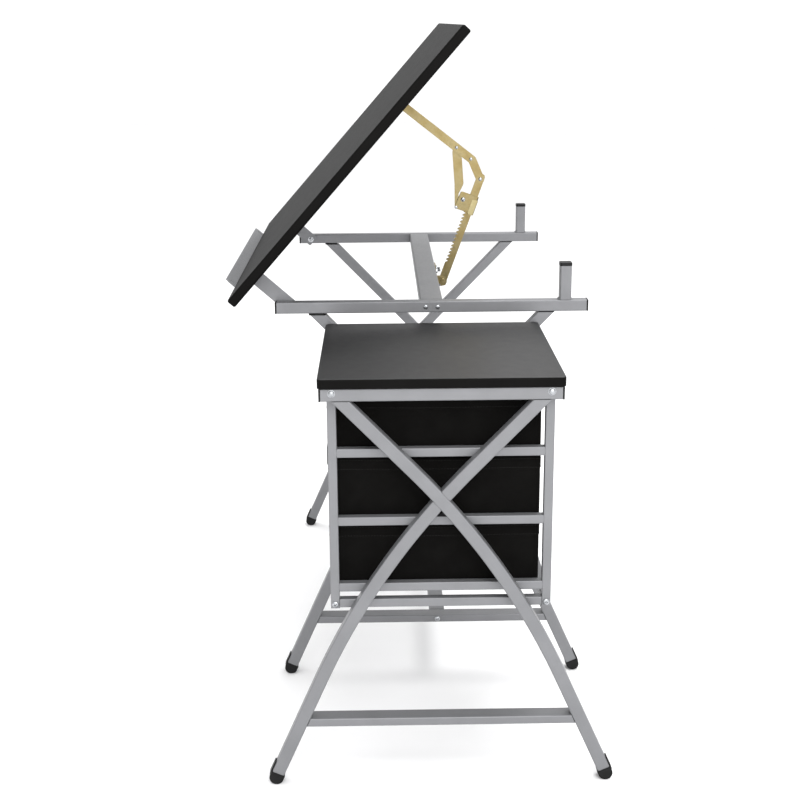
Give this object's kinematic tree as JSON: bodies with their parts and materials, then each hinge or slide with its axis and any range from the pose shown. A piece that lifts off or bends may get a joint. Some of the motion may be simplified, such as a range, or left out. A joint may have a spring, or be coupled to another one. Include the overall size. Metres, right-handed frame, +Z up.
{
  "type": "drafting table",
  "caption": "Drafting table with a tilting board on a ratchet stay, a slide-up pencil ledge, crossed curved legs, and a fixed side top over fabric drawers.",
  "frame": {"origin": "on the floor, under the middle of the overall box with the board at its steepest", "axes": "+X to the sitter's right, towards the side top; +Y to the back; +Z up"},
  "size_m": [1.23, 0.642, 1.1679],
  "materials": {
    "frame_steel": "satin silver-grey powder coat on steel tube",
    "black_board": "fine-grained matt black laminate on fibreboard",
    "yellow_zinc": "yellow zinc plated steel strip",
    "bright_zinc": "bright zinc plated screws",
    "black_plastic": "black moulded plastic caps",
    "black_fabric": "black non-woven fabric over stiff card"
  },
  "bodies": {
    "stand": {"rail_right": "frame_steel", "rail_left": "frame_steel", "rail_cap_right_front": "black_plastic", "rail_cap_right_rear": "black_plastic", "rail_cap_left_front": "black_plastic", "rail_cap_left_rear": "black_plastic", "rest_post_right": "frame_steel", "rest_post_left": "frame_steel", "post_cap_right": "black_plastic", "post_cap_left": "black_plastic", "pivot_bolt_right": "bright_zinc", "pivot_bolt_left": "bright_zinc", "crossbar": "frame_steel", "leg_a_right": "frame_steel", "leg_a_middle": "frame_steel", "leg_a_left": "frame_steel", "leg_b_upper_right": "frame_steel", "leg_b_upper_middle": "frame_steel", "leg_b_upper_left": "frame_steel", "leg_b_lower_right": "frame_steel", "leg_b_lower_middle": "frame_steel", "leg_b_lower_left": "frame_steel", "stretcher_right": "frame_steel", "stretcher_middle": "frame_steel", "stretcher_left": "frame_steel", "foot_right_front": "black_plastic", "foot_right_rear": "black_plastic", "foot_middle_front": "black_plastic", "foot_middle_rear": "black_plastic", "foot_left_front": "black_plastic", "foot_left_rear": "black_plastic", "leg_plug_middle_front": "black_plastic", "leg_plug_middle_rear": "black_plastic", "leg_plug_left_front": "black_plastic", "leg_plug_left_rear": "black_plastic", "long_beam": "frame_steel", "side_top": "black_board", "side_rail": "frame_steel", "side_rail_cap_front": "black_plastic", "side_rail_cap_rear": "black_plastic", "drawer_frame_right": "frame_steel", "drawer_frame_left": "frame_steel", "foot_bar_right": "frame_steel", "foot_bar_left": "frame_steel", "frame_tube_top_front": "frame_steel", "frame_tube_top_rear": "frame_steel", "frame_tube_bottom_rear": "frame_steel", "stay_base_bracket": "yellow_zinc"},
    "board": {"drawing_board": "black_board", "board_bracket_right": "frame_steel", "board_bracket_left": "frame_steel", "stay_board_bracket": "yellow_zinc"},
    "ledge": {"pencil_ledge": "frame_steel"},
    "stay_bar": {"ratchet_bar": "yellow_zinc"},
    "arm": {"stay_arm": "yellow_zinc"},
    "catch": {"ratchet_catch": "yellow_zinc"},
    "link": {"stay_link": "yellow_zinc"},
    "top_drawer": {"drawer_top": "black_fabric"},
    "middle_drawer": {"drawer_middle": "black_fabric"},
    "bottom_drawer": {"drawer_bottom": "black_fabric"}
  },
  "joints": [
    {"name": "board_tilt", "type": "hinge", "parent": "stand", "child": "board", "pos_m": [-0.165, -0.198, 0.695], "axis": [1, 0, 0], "range_deg": [-48.45, 0]},
    {"name": "ledge_slide", "type": "slide", "parent": "board", "child": "ledge", "axis": [0, 0.7484, -0.6633], "range_m": [0, 0.0195]},
    {"name": "bar_swing", "type": "hinge", "parent": "stand", "child": "stay_bar", "pos_m": [-0.165, 0.085, 0.668], "axis": [1, 0, 0], "range_deg": [-97.83, 0.4]},
    {"name": "arm_elbow", "type": "hinge", "parent": "stay_bar", "child": "arm", "pos_m": [-0.165, 0.159, 0.87], "axis": [1, 0, 0], "range_deg": [-0.4, 78.99]},
    {"name": "catch_slide", "type": "slide", "parent": "stay_bar", "child": "catch", "axis": [0, 0.344, 0.939], "range_m": [-0.10207, 0.0005]},
    {"name": "link_swing", "type": "hinge", "parent": "catch", "child": "link", "pos_m": [-0.165, 0.11135, 0.81493], "axis": [1, 0, 0], "range_deg": [-6.21, 0.4]},
    {"name": "drawer_top_slide", "type": "slide", "parent": "stand", "child": "top_drawer", "axis": [0, -1, 0], "range_m": [0, 0.25]},
    {"name": "drawer_middle_slide", "type": "slide", "parent": "stand", "child": "middle_drawer", "axis": [0, -1, 0], "range_m": [0, 0.25]},
    {"name": "drawer_bottom_slide", "type": "slide", "parent": "stand", "child": "bottom_drawer", "axis": [0, -1, 0], "range_m": [0, 0.25]}
  ],
  "couplings": [
    {"joint": "bar_swing", "follows": "board_tilt", "ratio": 2.0109},
    {"joint": "arm_elbow", "follows": "board_tilt", "ratio": -1.622},
    {"joint": "catch_slide", "follows": "board_tilt", "m_per_rad": 0.12012},
    {"joint": "link_swing", "follows": "board_tilt", "ratio": 0.11992}
  ]
}
